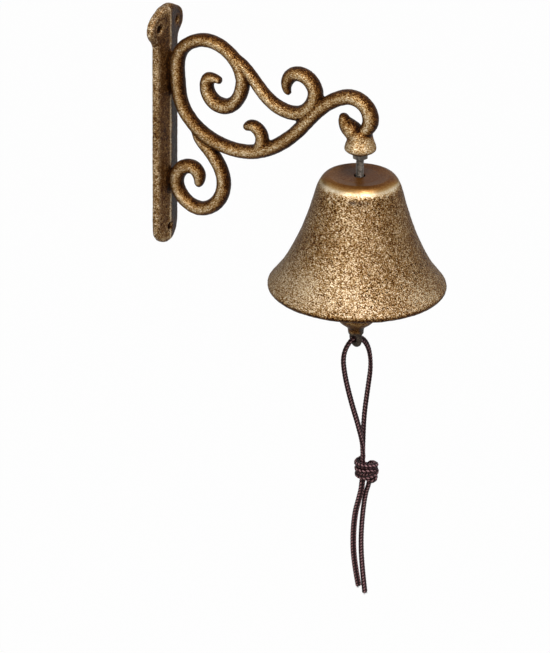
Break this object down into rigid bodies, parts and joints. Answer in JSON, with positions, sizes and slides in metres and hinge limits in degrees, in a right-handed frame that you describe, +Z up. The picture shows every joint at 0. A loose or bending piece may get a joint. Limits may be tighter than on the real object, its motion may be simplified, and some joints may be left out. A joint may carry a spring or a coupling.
{
  "type": "garden bell",
  "caption": "Wall bell with a scroll bracket, a flared bell hung on an eye bolt, a swinging clapper and a knotted pull cord.",
  "frame": {"origin": "centre of the wall plate's back face", "axes": "+X out from the wall, +Z up along the wall plate, Y across it; the scroll's plane and the bell's axis lie at y = 0"},
  "size_m": [0.175, 0.1, 0.339],
  "materials": {
    "bronzed_cast_iron": "dark brown lacquer rubbed with gold on the raised parts",
    "dark_steel": "dark oiled steel",
    "brown_cord": "braided brown cord"
  },
  "bodies": {
    "hanger": {"bracket": "bronzed_cast_iron", "lock_nut": "dark_steel", "eye_bolt": "dark_steel", "support_nut": "dark_steel"},
    "washer": {"crown_washer": "dark_steel"},
    "bell_body": {"bell": "bronzed_cast_iron"},
    "link": {"clapper_link": "dark_steel"},
    "clapper_body": {"clapper": "bronzed_cast_iron"},
    "pull": {"cord_loop": "brown_cord", "cord_knot": "brown_cord", "cord_tail_left": "brown_cord", "cord_tail_right": "brown_cord"}
  },
  "joints": [
    {"name": "bell_rock", "type": "hinge", "parent": "hanger", "child": "washer", "pos_m": [0.125, 0, -0.0107], "axis": [0, 1, 0], "range_deg": [-3.5, 3.5]},
    {"name": "bell_spin", "type": "hinge", "parent": "washer", "child": "bell_body", "pos_m": [0.125, 0, -0.0095], "axis": [0, 0, 1], "continuous": true},
    {"name": "link_swing", "type": "hinge", "parent": "hanger", "child": "link", "pos_m": [0.125, 0, -0.02905], "axis": [0, 1, 0], "range_deg": [-30, 30]},
    {"name": "clapper_swing", "type": "hinge", "parent": "link", "child": "clapper_body", "pos_m": [0.125, 0, -0.0383], "axis": [1, 0, 0], "range_deg": [-10, 10]},
    {"name": "cord_swing", "type": "hinge", "parent": "clapper_body", "child": "pull", "pos_m": [0.125, 0, -0.1046], "axis": [0.5, 0.866, 0], "range_deg": [-45, 45]}
  ]
}
